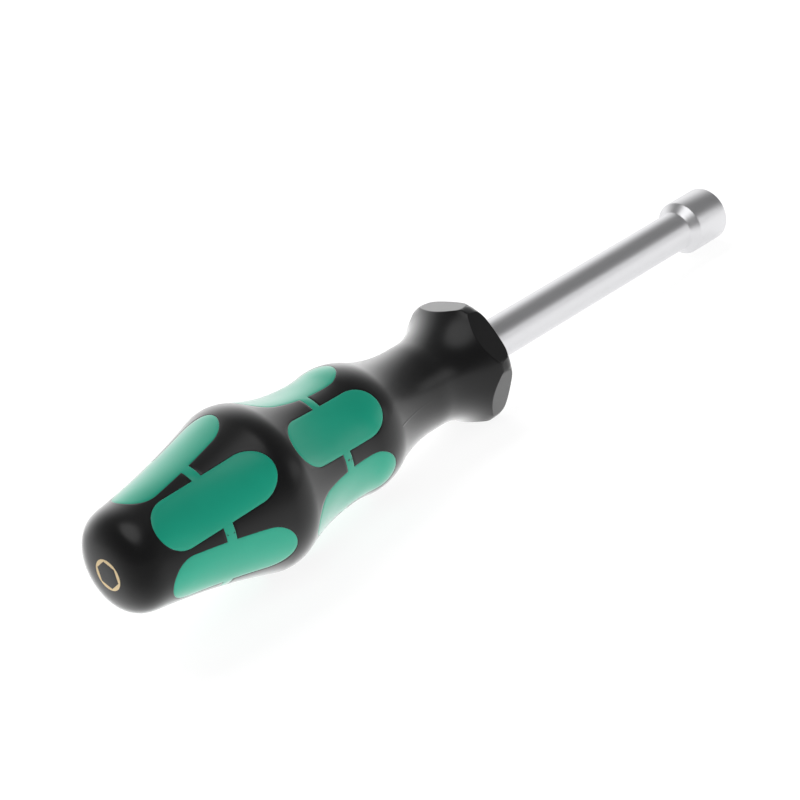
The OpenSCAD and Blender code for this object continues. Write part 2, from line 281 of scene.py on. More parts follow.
class HandleForm:
    """The handle's outside: a radius for each distance from the butt and angle from a pad's middle"""

    def __init__(self, handle, grip):
        self.handle = handle
        self.grip = grip
        self.collar_at = handle.neck_from + handle.neck_len + handle.collar_rise
        self.length = self.collar_at + handle.collar_rim
        self.neck_to = handle.neck_from + handle.neck_len
        self.flank_low = (handle.flank_low_at, handle.flank_low_d / 2)
        self.rear_crest = (handle.rear_crest_at, handle.rear_crest_d / 2)
        self.waist = (handle.waist_at, handle.waist_d / 2)
        self.front_crest = (handle.front_crest_at, handle.front_crest_d / 2)
        self.neck_rear = (handle.neck_from, handle.neck_d / 2)
        self.neck_front = (self.neck_to, handle.neck_d / 2)
        self.collar_crest = (self.collar_at, handle.collar_d / 2)
        self.rounds = (handle.rear_crest_round, handle.front_crest_round, handle.collar_round)
        self.rim = (handle.collar_rim, handle.collar_face_d / 2)
        self.rings = (
            (grip.rear_from, grip.rear_to, grip.rear_flat),
            (grip.front_from, grip.front_to, grip.front_flat),
        )

    def side_r(self, s):
        """Radius of the side profile before the butt is rounded."""
        rear_round, front_round, collar_round = self.rounds
        if s < self.rear_crest[0]:
            return ogee(s, self.flank_low, self.rear_crest, rear_round)
        if s < self.waist[0]:
            return ogee(s, self.waist, self.rear_crest, rear_round)
        if s < self.front_crest[0]:
            return ogee(s, self.waist, self.front_crest, front_round)
        if s < self.neck_rear[0]:
            return ogee(s, self.neck_rear, self.front_crest, front_round)
        if s < self.neck_front[0]:
            return self.neck_front[1]
        if s < self.collar_at:
            return ogee(s, self.neck_front, self.collar_crest, collar_round)
        rim_len, face_r = self.rim
        along = (s - self.collar_at) / rim_len
        return face_r + (self.collar_crest[1] - face_r) * quarter(along, self.handle.rim_fullness)

    def radius(self, s):
        """Radius of the handle at its ridges."""
        handle = self.handle
        if s >= handle.butt_round:
            return self.side_r(s)
        return self.side_r(s) * quarter(1 - max(s, 0) / handle.butt_round, handle.butt_fullness)

    def section_r(self, s, turn):
        """Radius at an angle from a pad's middle: a little lower over the pads than at the ridges."""
        drop = 0
        for start, end, flat in self.rings:
            if start < s < end:
                drop = flat * math.sin(math.pi * (s - start) / (end - start)) ** 2
        return self.radius(s) - drop * (1 + math.cos(SECTORS * turn)) / 2

    def turn_at(self, s, across):
        """Angle at which the section lies a distance across from the pad's middle plane."""
        turn = math.asin(across / self.radius(s))
        for _ in range(TURN_STEPS):
            turn = math.asin(across / self.section_r(s, turn))
        return turn

    def point(self, s, turn):
        """Point of the handle's surface, with the angle taken from straight down."""
        return ring_point(BUTT_X + s, self.section_r(s, turn), turn)


def ogee(s, low, high, crest_round):
    """Two tangent arcs from a low point to a high one, level at both ends."""
    run = abs(high[0] - low[0])
    rise = high[1] - low[1]
    both = (run * run + rise * rise) / (2 * abs(rise))
    upper = min(crest_round, CREST_SHARE * both)
    lower = both - upper
    along = abs(s - low[0])
    if along < run * lower / both:
        return low[1] + lower - math.sqrt(lower * lower - along * along)
    rest = run - along
    return high[1] - upper + math.sqrt(max(upper * upper - rest * rest, 0))


def quarter(along, fullness):
    """Quarter of a full ellipse: what is left of its height at a share of its length."""
    return (1 - min(along, 1) ** fullness) ** (1 / fullness)


def ring_point(x, r, turn):
    """Point on a ring round the axis, with the angle taken from straight down."""
    return Vector((x, r * math.sin(turn), -r * math.cos(turn)))


def turn_of(co):
    """Angle of a point round the axis, from straight down."""
    return math.atan2(co.y, -co.z)


def from_middle(turn):
    """Angle from the middle of the nearest pad or flat."""
    return (turn + SECTOR / 2) % SECTOR - SECTOR / 2


def hexagon_r(across_flats, turn):
    """Radius of a hexagon whose flats lie over the pads' middles."""
    return across_flats / 2 / math.cos(from_middle(turn))


def soft_min(a, b, width):
    """The lower of two values, blended where they are closer than the width."""
    near = max(width - abs(a - b), 0) / width
    return min(a, b) - near * near * width / 4


def next_ring(bm, edges, place):
    """Extrudes a closed loop of edges and puts each new point where the rule says; returns the new loop."""
    made = bmesh.ops.extrude_edge_only(bm, edges=edges)["geom"]
    for vert in made:
        if isinstance(vert, bmesh.types.BMVert):
            vert.co = place(turn_of(vert.co))
    ends = {vert for vert in made if isinstance(vert, bmesh.types.BMVert)}
    return [e for e in made if isinstance(e, bmesh.types.BMEdge) and set(e.verts) <= ends]


def close_pole(bm, edges, x):
    """Closes a loop of edges to a point on the axis."""
    tip = next_ring(bm, edges, lambda turn: Vector((x, 0, 0)))
    verts = list({vert for edge in tip for vert in edge.verts})
    bmesh.ops.pointmerge(bm, verts=verts, merge_co=Vector((x, 0, 0)))


def border_at(bm, s):
    """The open edges round the handle at a distance from the butt."""
    x = BUTT_X + s
    return [e for e in bm.edges if e.is_boundary and all(abs(v.co.x - x) < IN_LINE for v in e.verts)]


def make_object(bm, name, material, node, sharp=40):
    """Turns a bmesh into a smooth-shaded piece that rides on the body and stands for a CAD node."""
    # The marks of the zones give way to the piece's own material
    for face in bm.faces:
        face.material_index = 0
    mesh = bpy.data.meshes.new(name)
    bm.to_mesh(mesh)
    bm.free()
    mesh.polygons.foreach_set("use_smooth", [True] * len(mesh.polygons))
    mesh.set_sharp_from_angle(angle=math.radians(sharp))
    piece = bpy.data.objects.new(name, mesh)
    bpy.context.scene.collection.objects.link(piece)
    mesh.materials.append(material)
    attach(piece, BODY)
    if node:
        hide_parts(node)
    return piece


def pad_panel(form, start, end):
    """One sixth of a soft ring and the hard plastic round it, with the pad's outline as an edge loop."""
    grip = form.grip
    bm = bmesh.new()
    middle = (start + end) / 2
    straight = (end - start - grip.pad_w) / 2
    limit = (end - start) / 2 + grip.margin
    corner = math.pi / 4
    roll = form.radius(middle)

    def stretched(co):
        return Vector((co.x + math.copysign(straight, co.x) if abs(co.x) > IN_LINE else 0, co.y, 0))

    def on_outline(co):
        return Vector((co.x, roll * form.turn_at(middle + co.x, co.y), 0))

    def on_spine(co):
        return Vector((max(-straight, min(straight, co.x)), 0, 0))

    def on_border(co):
        side = math.copysign(SECTOR / 2 * roll, co.y)
        past = abs(co.x) - straight
        round_turn = math.atan2(abs(co.y), max(past, 0))
        if past <= 0:
            return Vector((co.x, side, 0))
        if round_turn > corner - IN_TURN:
            reach = (math.pi / 2 - round_turn) / corner
            return Vector((math.copysign(straight + (limit - straight) * reach, co.x), side, 0))
        return Vector((math.copysign(limit, co.x), side * round_turn / corner, 0))

    # The outline: a circle drawn out into a stadium, with points where the bridges meet it
    for vert in bmesh.ops.create_circle(bm, segments=PAD_ROUND, radius=grip.pad_w / 2)["verts"]:
        vert.co = stretched(vert.co)
    for x in (-grip.bridge_w / 2, grip.bridge_w / 2):
        bmesh.ops.bisect_plane(bm, geom=bm.verts[:] + bm.edges[:], plane_co=(x, 0, 0), plane_no=(1, 0, 0))
    long_edges = [e for e in bm.edges if e.calc_length() > grip.bridge_w]
    bmesh.ops.subdivide_edges(bm, edges=long_edges, cuts=SIDE_CUTS)

    # Drawn in to the pad's middle line and out to the sector's border
    outline = bm.edges[:]
    flat = {vert: vert.co.copy() for vert in bm.verts}
    for zone, rule in ((SOFT, on_spine), (HARD, on_border)):
        for part in bmesh.ops.extrude_edge_only(bm, edges=outline)["geom"]:
            if isinstance(part, bmesh.types.BMVert):
                part.co = rule(part.co)
            elif isinstance(part, bmesh.types.BMFace):
                part.material_index = zone
    for vert, co in flat.items():
        vert.co = on_outline(co)
    spokes = [e for e in bm.edges if (e.verts[0] in flat) != (e.verts[1] in flat)]
    bmesh.ops.subdivide_edges(bm, edges=spokes, cuts=PANEL_CUTS, use_grid_fill=True)
    half = grip.bridge_w / 2 + IN_LINE
    for face in bm.faces:
        if all(abs(v.co.x) < half for v in face.verts):
            face.material_index = SOFT
    bmesh.ops.remove_doubles(bm, verts=bm.verts, dist=MERGE)

    # Wrapped round the handle
    for vert in bm.verts:
        vert.co = form.point(middle + vert.co.x, vert.co.y / roll)
    return bm


def pad_ring(form, start, end):
    """Six panels, turned round the axis and joined."""
    bm = pad_panel(form, start, end)
    bmesh.ops.spin(
        bm, geom=bm.verts[:] + bm.edges[:] + bm.faces[:], cent=(0, 0, 0), axis=(1, 0, 0),
        angle=SECTOR * (SECTORS - 1), steps=SECTORS - 1, use_duplicate=True)
    bmesh.ops.remove_doubles(bm, verts=bm.verts, dist=MERGE)
    bmesh.ops.recalc_face_normals(bm, faces=bm.faces)
    return bm


def both_rings(form):
    """The rings of panels behind the rear bulge and in front of it, in one mesh."""
    grip = form.grip
    bm = pad_ring(form, grip.rear_from, grip.rear_to)
    front = pad_ring(form, grip.front_from, grip.front_to)
    mesh = bpy.data.meshes.new("front_ring")
    front.to_mesh(mesh)
    front.free()
    bm.from_mesh(mesh)
    bpy.data.meshes.remove(mesh)
    return bm


def flat_limits(form, turn):
    """Where a collar flat starts and ends along the axis, at an angle from its middle."""
    plane_r = COLLAR_FLAT / math.cos(turn)
    if plane_r >= form.collar_crest[1]:
        return form.collar_at, form.collar_at
    low, high = form.neck_to, form.collar_at
    for _ in range(HALVINGS):
        middle = (low + high) / 2
        if form.side_r(middle) < plane_r:
            low = middle
        else:
            high = middle
    rim_len, face_r = form.rim
    rise = (plane_r - face_r) / (form.collar_crest[1] - face_r)
    return low, form.collar_at + rim_len * quarter(rise, form.handle.rim_fullness)


def collar_ring(form, place):
    """Rule for a ring of the collar, whose place follows the edges of the flats."""
    def at(turn):
        part = from_middle(turn)
        start, end = flat_limits(form, part)
        centre, half = (start + end) / 2, max((end - start) / 2, form.handle.flat_least)
        s = place(centre - half, centre + half)
        plane_r = COLLAR_FLAT / math.cos(part)
        return ring_point(BUTT_X + s, soft_min(form.side_r(s), plane_r, form.handle.flat_edge), turn)
    return at


def handle_skin(form):
    """The whole handle as one closed skin, with the soft zones marked by their material index."""
    handle, grip = form.handle, form.grip
    bm = both_rings(form)

    # The dome of the butt, with rings that lie closer where it turns
    loop = border_at(bm, grip.rear_from - grip.margin)
    first = quarter(1 - (grip.rear_from - grip.margin) / handle.butt_round, handle.butt_fullness)
    for step in range(1, DOME_RINGS):
        full = first * math.cos(math.pi / 2 * step / DOME_RINGS)
        s = handle.butt_round * (1 - quarter(full, handle.butt_fullness))
        loop = next_ring(bm, loop, lambda turn: form.point(s, turn))
    close_pole(bm, loop, BUTT_X)

    # The rear bulge between the two soft rings
    start, end = grip.rear_to + grip.margin, grip.front_from - grip.margin
    loop = border_at(bm, start)
    for step in range(1, BULGE_RINGS + 1):
        s = start + (end - start) * step / BULGE_RINGS
        loop = next_ring(bm, loop, lambda turn: form.point(s, turn))

    # The neck, up to the collar
    start = grip.front_to + grip.margin
    loop = border_at(bm, start)
    for step in range(1, NECK_RINGS + 1):
        s = start + (form.neck_to - start) * step / NECK_RINGS
        loop = next_ring(bm, loop, lambda turn: form.point(s, turn))

    # The collar, with rings that follow the edges of its flats and stay behind its front face
    hug = handle.flat_hug

    def front_hug(high):
        return min(hug, (form.length - high) / 3)

    for step in range(1, SLOPE_RINGS + 1):
        along = step / SLOPE_RINGS
        rule = collar_ring(form, lambda low, high: form.neck_to + (low - 3 * hug - form.neck_to) * along)
        loop = next_ring(bm, loop, rule)
    for side in (-2, -1, 0, 1, 2):
        loop = next_ring(bm, loop, collar_ring(form, lambda low, high: low + side * hug))
    loop = next_ring(bm, loop, collar_ring(form, lambda low, high: (low + high) / 2))
    for side in (-2, -1, 0, 1):
        loop = next_ring(bm, loop, collar_ring(form, lambda low, high: high + side * front_hug(high)))
    for step in range(1, RIM_RINGS + 1):
        left = 1 - math.sin(math.pi / 2 * step / RIM_RINGS)
        rule = collar_ring(
            form, lambda low, high: form.length - (form.length - high - front_hug(high)) * left)
        loop = next_ring(bm, loop, rule)

    # The front face, the hole for the shaft, and the room that the core fills
    hole_r = bpy.context.scene.nut_driver_blade.shaft_d / 2 + handle.shaft_gap
    face_x = BUTT_X + form.length
    for r in (form.rim[1] - handle.face_land, hole_r + handle.face_land, hole_r):
        loop = next_ring(bm, loop, lambda turn: ring_point(face_x, r, turn))
    loop = next_ring(bm, loop, lambda turn: ring_point(BUTT_X + handle.core_to, hole_r, turn))
    for s, across in core_steps(handle):
        loop = next_ring(bm, loop, lambda turn: ring_point(BUTT_X + s, hexagon_r(across, turn), turn))
    close_pole(bm, loop, BUTT_X + handle.core_from)

    bmesh.ops.remove_doubles(bm, verts=bm.verts, dist=MERGE)
    bmesh.ops.recalc_face_normals(bm, faces=bm.faces)
    return bm


def core_steps(handle):
    """The core's outline from front to rear: distance from the butt and width across flats."""
    yield handle.core_to, handle.core_front_af
    yield handle.core_step_at, handle.core_front_af
    lands = CORE_GROOVES + 1
    land = (handle.core_step_at - handle.core_from - CORE_GROOVES * handle.groove_w) / lands
    floor_af = handle.core_rear_af - 2 * handle.groove_depth
    front = handle.core_step_at
    for k in range(lands):
        yield front, handle.core_rear_af
        yield front - land, handle.core_rear_af
        if k < CORE_GROOVES:
            yield front - land, floor_af
            yield front - land - handle.groove_w, floor_af
        front -= land + handle.groove_w


def soft_depth(form, co):
    """Thickness of the soft plastic under a point: that of a pad, or of a bridge between pads."""
    s = co.x - BUTT_X
    turn = from_middle(turn_of(co))
    across = abs(form.section_r(s, turn) * math.sin(turn))
    on_pad = across < form.grip.pad_w / 2 + PAD_SLACK
    return form.grip.pad_depth if on_pad else form.grip.bridge_depth


def sunk(form, co):
    """A point of the skin, moved towards the axis by the thickness of the soft plastic."""
    r = math.hypot(co.y, co.z)
    return ring_point(co.x, r - soft_depth(form, co), turn_of(co))


def sink_soft(bm, form, keep):
    """Extrudes the soft zones inwards and returns the edges of their outline on the skin."""
    soft = [f for f in bm.faces if f.material_index == SOFT]
    hard = {f for f in bm.faces if f.material_index == HARD}
    made = bmesh.ops.extrude_face_region(bm, geom=soft, use_keep_orig=True)["geom"]
    floor = {f for f in made if isinstance(f, bmesh.types.BMFace)}
    for vert in made:
        if isinstance(vert, bmesh.types.BMVert):
            vert.co = sunk(form, vert.co)
    walls = set(bm.faces) - floor - hard - set(soft)
    top = set(soft) if keep else hard
    rims = [e for e in bm.edges if not walls.isdisjoint(e.link_faces) and not top.isdisjoint(e.link_faces)]
    if not keep:
        bmesh.ops.delete(bm, geom=soft, context="FACES")
    return rims


def round_edges(bm, edges, size, segments):
    """Rounds edges off and returns the points made."""
    return bmesh.ops.bevel(
        bm, geom=edges, offset=size, offset_type="OFFSET", segments=segments, profile=0.5,
        affect="EDGES", material=-1, clamp_overlap=True)["verts"]


def parting_line(bm, form):
    """Raises the fine line that the mould's halves leave on both sides of the neck, and lets it run out."""
    handle = form.handle
    start, end = BUTT_X + handle.line_from, BUTT_X + handle.line_to

    def on_line(vert):
        return abs(vert.co.z) < IN_LINE and start < vert.co.x < end

    line = [e for e in bm.edges if all(on_line(v) for v in e.verts)]
    for vert in round_edges(bm, line, handle.line_w / 2, segments=2):
        if on_line(vert):
            left = (end - vert.co.x) / (end - start)
            vert.co.y += math.copysign(handle.line_h * left, vert.co.y)


def linear(value):
    """An sRGB hex value as a linear colour."""
    parts = [int(value[i:i + 2], 16) / 255 for i in (1, 3, 5)]
    return [p / 12.92 if p <= 0.04045 else ((p + 0.055) / 1.055) ** 2.4 for p in parts] + [1.0]


def toned(colour, factor):
    """A linear colour made darker or lighter."""
    return [part * factor for part in colour[:3]] + [1.0]


def add(tree, kind, settings=None, links=None):
    """Adds a node, with settings for its sockets or properties and links to its inputs."""
    made = tree.nodes.new(kind)
    for key, value in (settings or {}).items():
        if isinstance(key, int) or key in made.inputs:
            made.inputs[key].default_value = value
        else:
            setattr(made, key, value)
    for key, source in (links or {}).items():
        tree.links.new(source, made.inputs[key])
    return made


def new_material(name):
    """An empty node material and its tree."""
    material = bpy.data.materials.new(name)
    material.use_nodes = True
    material.node_tree.nodes.clear()
    return material, material.node_tree


def hard_black():
    """Polypropylene from a spark-eroded mould: a fine even grain that turns the gloss to satin."""
    material, tree = new_material("Black polypropylene")
    colours = bpy.context.scene.nut_driver_finish
    place = add(tree, "ShaderNodeTexCoord").outputs["Object"]
    # Grain of about 0.3 mm: the real grain is finer, and is drawn so that it shows
    grain = add(tree, "ShaderNodeTexNoise", {"Scale": 1 / (0.3 * MM), "Detail": 2.0}, {"Vector": place})
    cloud = add(tree, "ShaderNodeTexNoise", {"Scale": 1 / (14 * MM), "Detail": 3.0}, {"Vector": place})
    rough = add(tree, "ShaderNodeMapRange", {"To Min": 0.26, "To Max": 0.34}, {"Value": cloud.outputs["Fac"]})
    base = linear(colours.hard_black)
    tone = add(tree, "ShaderNodeMix", {"data_type": "RGBA", 6: toned(base, 0.85), 7: toned(base, 1.2)}, {
        0: cloud.outputs["Fac"]})
    bump = add(tree, "ShaderNodeBump", {"Strength": 0.06, "Distance": 0.02 * MM}, {
        "Height": grain.outputs["Fac"]})
    shader = add(tree, "ShaderNodeBsdfPrincipled", MOULDED_GLOSS, {
        "Base Color": tone.outputs[2], "Roughness": rough.outputs[0], "Normal": bump.outputs[0]})
    add(tree, "ShaderNodeOutputMaterial", links={"Surface": shader.outputs[0]})
    return material


def soft_green():
    """Thermoplastic elastomer: a full green under a satin gloss, with painted shade for nicks where the mould
    parts.
    """
    material, tree = new_material("Green elastomer")
    colours = bpy.context.scene.nut_driver_finish
    place = add(tree, "ShaderNodeTexCoord").outputs["Object"]
    # Grain of about 0.35 mm, drawn coarser than the real grain so that it shows
    grain = add(tree, "ShaderNodeTexNoise", {"Scale": 1 / (0.35 * MM), "Detail": 3.0}, {"Vector": place})
    cloud = add(tree, "ShaderNodeTexNoise", {"Scale": 1 / (9 * MM), "Detail": 3.0}, {"Vector": place})
    rough = add(tree, "ShaderNodeMapRange", {"To Min": 0.26, "To Max": 0.34}, {"Value": cloud.outputs["Fac"]})
    base = linear(colours.soft_green)
    tone = add(tree, "ShaderNodeMix", {"data_type": "RGBA", 6: toned(base, 0.94), 7: toned(base, 1.06)}, {
        0: cloud.outputs["Fac"]})
    # Painted shade for nicks of about half a millimetre in the bridges that the mould's parting plane cuts:
    # spots near that plane are darkened, and no pit is modelled
    height = add(tree, "ShaderNodeSeparateXYZ", links={0: place}).outputs["Z"]
    off_plane = add(tree, "ShaderNodeMath", {"operation": "ABSOLUTE"}, {0: height}).outputs[0]
    near = add(tree, "ShaderNodeMapRange", {
        "From Min": 0.3 * MM, "From Max": 1.1 * MM, "To Min": 1.0, "To Max": 0.0}, {"Value": off_plane})
    chips = add(tree, "ShaderNodeTexNoise", {"Scale": 1 / (0.55 * MM), "Detail": 1.0}, {"Vector": place})
    close = add(tree, "ShaderNodeMath", {"operation": "MULTIPLY"}, {
        0: near.outputs[0], 1: chips.outputs["Fac"]})
    nick_shade_mask = add(tree, "ShaderNodeMapRange", {"From Min": 0.54, "From Max": 0.6}, {"Value": close.outputs[0]})
    # Painted shade: the green is darkened to a quarter in the nicks
    nick_shaded_tone = add(tree, "ShaderNodeMix", {"data_type": "RGBA", 7: toned(base, 0.25)}, {
        0: nick_shade_mask.outputs[0], 6: tone.outputs[2]})
    bump = add(tree, "ShaderNodeBump", {"Strength": 0.08, "Distance": 0.02 * MM}, {
        "Height": grain.outputs["Fac"]})
    shader = add(tree, "ShaderNodeBsdfPrincipled", MOULDED_GLOSS, {
        "Base Color": nick_shaded_tone.outputs[2], "Roughness": rough.outputs[0], "Normal": bump.outputs[0]})
    add(tree, "ShaderNodeOutputMaterial", links={"Surface": shader.outputs[0]})
    return material


def satin_chrome():
    """Chrome on finely blasted steel: a bright metal whose reflections are soft, without lines."""
    material, tree = new_material("Satin chrome on steel")
    colours = bpy.context.scene.nut_driver_finish
    place = add(tree, "ShaderNodeTexCoord").outputs["Object"]
    # Grain of about 0.2 mm: blasting leaves a finer one, which is drawn so that it shows
    grain = add(tree, "ShaderNodeTexNoise", {"Scale": 1 / (0.2 * MM), "Detail": 2.0}, {"Vector": place})
    cloud = add(tree, "ShaderNodeTexNoise", {"Scale": 1 / (6 * MM), "Detail": 4.0}, {"Vector": place})
    rough = add(tree, "ShaderNodeMapRange", {"To Min": 0.33, "To Max": 0.39}, {"Value": cloud.outputs["Fac"]})
    bump = add(tree, "ShaderNodeBump", {"Strength": 0.05, "Distance": 0.01 * MM}, {
        "Height": grain.outputs["Fac"]})
    base = linear(colours.chrome)
    tone = add(tree, "ShaderNodeMix", {"data_type": "RGBA", 6: toned(base, 0.95), 7: base}, {
        0: cloud.outputs["Fac"]})
    shader = add(tree, "ShaderNodeBsdfPrincipled", {"Metallic": 1.0}, {
        "Base Color": tone.outputs[2], "Roughness": rough.outputs[0], "Normal": bump.outputs[0]})
    add(tree, "ShaderNodeOutputMaterial", links={"Surface": shader.outputs[0]})
    return material


def gold_foil():
    """Hot-stamped foil: a thin film of pale gold, brighter than the plastic and a little worn in specks."""
    material, tree = new_material("Gold stamping foil")
    colours = bpy.context.scene.nut_driver_finish
    place = add(tree, "ShaderNodeTexCoord").outputs["Object"]
    wear = add(tree, "ShaderNodeTexNoise", {"Scale": 1 / (0.4 * MM), "Detail": 4.0}, {"Vector": place})
    base = linear(colours.foil)
    tone = add(tree, "ShaderNodeMix", {"data_type": "RGBA", 6: toned(base, 0.85), 7: base}, {
        0: wear.outputs["Fac"]})
    rough = add(tree, "ShaderNodeMapRange", {"To Min": 0.5, "To Max": 0.3}, {"Value": wear.outputs["Fac"]})
    shader = add(tree, "ShaderNodeBsdfPrincipled", {"Metallic": 0.7}, {
        "Base Color": tone.outputs[2], "Roughness": rough.outputs[0]})
    add(tree, "ShaderNodeOutputMaterial", links={"Surface": shader.outputs[0]})
    return material


def core_plastic():
    """Moulded core plastic, which the shell hides: plain, with flow marks along the bar."""
    material, tree = new_material("Grey core plastic")
    colours = bpy.context.scene.nut_driver_finish
    place = add(tree, "ShaderNodeTexCoord").outputs["Object"]
    flow = add(tree, "ShaderNodeMapping", {"Scale": (0.2, 1, 1)}, {"Vector": place})
    marks = add(tree, "ShaderNodeTexNoise", {"Scale": 1 / (3 * MM), "Detail": 3.0}, {
        "Vector": flow.outputs[0]})
    base = linear(colours.core_grey)
    tone = add(tree, "ShaderNodeMix", {"data_type": "RGBA", 6: toned(base, 0.85), 7: base}, {
        0: marks.outputs["Fac"]})
    shader = add(tree, "ShaderNodeBsdfPrincipled", {"Roughness": 0.5}, {"Base Color": tone.outputs[2]})
    add(tree, "ShaderNodeOutputMaterial", links={"Surface": shader.outputs[0]})
    return material


def studio_paper():
    """White paper sweep: reads as white to the camera and in reflections, and keeps a soft shadow."""
    material, tree = new_material("White studio paper")
    colours = bpy.context.scene.nut_driver_finish
    studio = bpy.context.scene.nut_driver_studio
    path = add(tree, "ShaderNodeLightPath")
    paper = add(tree, "ShaderNodeBsdfDiffuse", {"Color": linear(colours.paper)})
    under = add(tree, "ShaderNodeEmission", {"Strength": studio.table_light})
    table = add(tree, "ShaderNodeAddShader", links={0: paper.outputs[0], 1: under.outputs[0]})
    # What is seen: nearly all glow, with a little plain paper that takes the shadow
    shade = add(tree, "ShaderNodeBsdfDiffuse", {"Color": linear(colours.paper_shade)})
    # The camera sees white everywhere, reflections see a white sheet that ends in the dim room
    place = add(tree, "ShaderNodeTexCoord").outputs["Object"]
    reach = add(tree, "ShaderNodeVectorMath", {"operation": "DISTANCE", 1: studio.sheet_at}, {0: place})
    fade = add(tree, "ShaderNodeMapRange", {
        "From Min": studio.sheet_from, "From Max": studio.sheet_to,
        "To Min": studio.sheet_glow, "To Max": studio.room_dim,
        "interpolation_type": "SMOOTHSTEP"}, {"Value": reach.outputs["Value"]})
    level = add(tree, "ShaderNodeMix", {3: studio.sheet_glow}, {
        0: path.outputs["Is Camera Ray"], 2: fade.outputs[0]})
    glow = add(tree, "ShaderNodeEmission", links={"Strength": level.outputs[0]})
    white = add(tree, "ShaderNodeAddShader", links={0: shade.outputs[0], 1: glow.outputs[0]})
    seen = path.outputs["Is Camera Ray"]
    for kind in ("Is Glossy Ray", "Is Transmission Ray"):
        either = add(tree, "ShaderNodeMath", {"operation": "MAXIMUM"}, {0: seen, 1: path.outputs[kind]})
        seen = either.outputs[0]
    front = add(tree, "ShaderNodeMixShader", links={0: seen, 1: table.outputs[0], 2: white.outputs[0]})
    below = add(tree, "ShaderNodeBsdfTransparent")
    side = add(tree, "ShaderNodeNewGeometry").outputs["Backfacing"]
    surface = add(tree, "ShaderNodeMixShader", links={0: side, 1: front.outputs[0], 2: below.outputs[0]})
    add(tree, "ShaderNodeOutputMaterial", links={"Surface": surface.outputs[0]})
    return material


def place_camera(scene, studio):
    """The camera, above and to one side, looking along the tool from beyond the butt."""
    data = bpy.data.cameras.new("camera")
    data.lens = studio.lens
    data.sensor_width = SENSOR
    data.clip_start = 0.01
    camera = bpy.data.objects.new("camera", data)
    scene.collection.objects.link(camera)
    lean = Matrix.Rotation(studio.roll, 4, "Z")
    look = Euler((math.pi / 2 - studio.elevation, 0, studio.azimuth)).to_matrix().to_4x4()
    camera.matrix_world = Matrix.Translation(studio.camera_at) @ look @ lean
    scene.camera = camera


def lay_floor(scene, studio):
    """The floor, which touches the rear bulge and one flat of the collar, as a bench would."""
    form = HandleForm(scene.nut_driver_handle, scene.nut_driver_grip)
    bulge = Vector((BUTT_X + form.rear_crest[0], 0, -form.rear_crest[1]))
    flat_front = Vector((BUTT_X + flat_limits(form, 0)[1], 0, -COLLAR_FLAT))
    tilt = math.atan2(flat_front.z - bulge.z, flat_front.x - bulge.x)
    bm = bmesh.new()
    bmesh.ops.create_grid(
        bm, x_segments=8, y_segments=8, size=studio.floor_size / 2,
        matrix=Matrix.Translation(bulge) @ Matrix.Rotation(-tilt, 4, "Y"))
    mesh = bpy.data.meshes.new("floor")
    bm.to_mesh(mesh)
    bm.free()
    floor = bpy.data.objects.new("floor", mesh)
    scene.collection.objects.link(floor)
    mesh.materials.append(studio_paper())


def hang_softbox(scene, studio):
    """A large softbox above and behind, kept out of the reflections."""
    lamp = bpy.data.lights.new("softbox", "AREA")
    lamp.size = studio.softbox_size
    lamp.energy = studio.softbox_power
    softbox = bpy.data.objects.new("softbox", lamp)
    scene.collection.objects.link(softbox)
    towards = Vector(studio.softbox_from).normalized()
    facing = towards.to_track_quat("Z", "Y").to_matrix().to_4x4()
    softbox.matrix_world = Matrix.Translation(towards * studio.softbox_far) @ facing
    softbox.visible_glossy = False
    softbox.visible_camera = False


def light_room(scene, studio):
    """A dim room with two soft lamps, which the camera sees as white."""
    world = bpy.data.worlds.new("studio")
    scene.world = world
    world.use_nodes = True
    tree = world.node_tree
    tree.nodes.clear()
    path = add(tree, "ShaderNodeLightPath")
    ray = add(tree, "ShaderNodeTexCoord").outputs["Generated"]
    # The room grows lighter towards a low backdrop behind the tool
    away = add(tree, "ShaderNodeVectorMath", {"operation": "DOT_PRODUCT", 1: studio.backdrop_from}, {0: ray})
    light = add(tree, "ShaderNodeMapRange", {
        "From Min": studio.backdrop_edge, "From Max": studio.backdrop_full,
        "To Min": studio.room_dim, "To Max": studio.room_bright}, {"Value": away.outputs["Value"]})
    # Each lamp is soft from its edge to where it is full
    for middle, edge, full, strength in (
        (studio.top_from, studio.top_edge, studio.top_full, studio.top_power),
        (studio.front_from, studio.front_edge, studio.front_full, studio.front_power),
    ):
        near = add(tree, "ShaderNodeVectorMath", {
            "operation": "DOT_PRODUCT", 1: Vector(middle).normalized()}, {0: ray})
        glow = add(tree, "ShaderNodeMapRange", {
            "From Min": edge, "From Max": full, "To Min": 0.0, "To Max": strength,
            "interpolation_type": "SMOOTHSTEP"}, {"Value": near.outputs["Value"]})
        light = add(tree, "ShaderNodeMath", {"operation": "ADD"}, {0: light.outputs[0], 1: glow.outputs[0]})
    room = add(tree, "ShaderNodeBackground", {"Color": (1, 1, 1, 1)}, {"Strength": light.outputs[0]})
    white = add(tree, "ShaderNodeBackground", {"Color": (1, 1, 1, 1), "Strength": 1.0})
    seen = add(tree, "ShaderNodeMixShader", links={
        0: path.outputs["Is Camera Ray"], 1: room.outputs[0], 2: white.outputs[0]})
    add(tree, "ShaderNodeOutputWorld", links={"Surface": seen.outputs[0]})


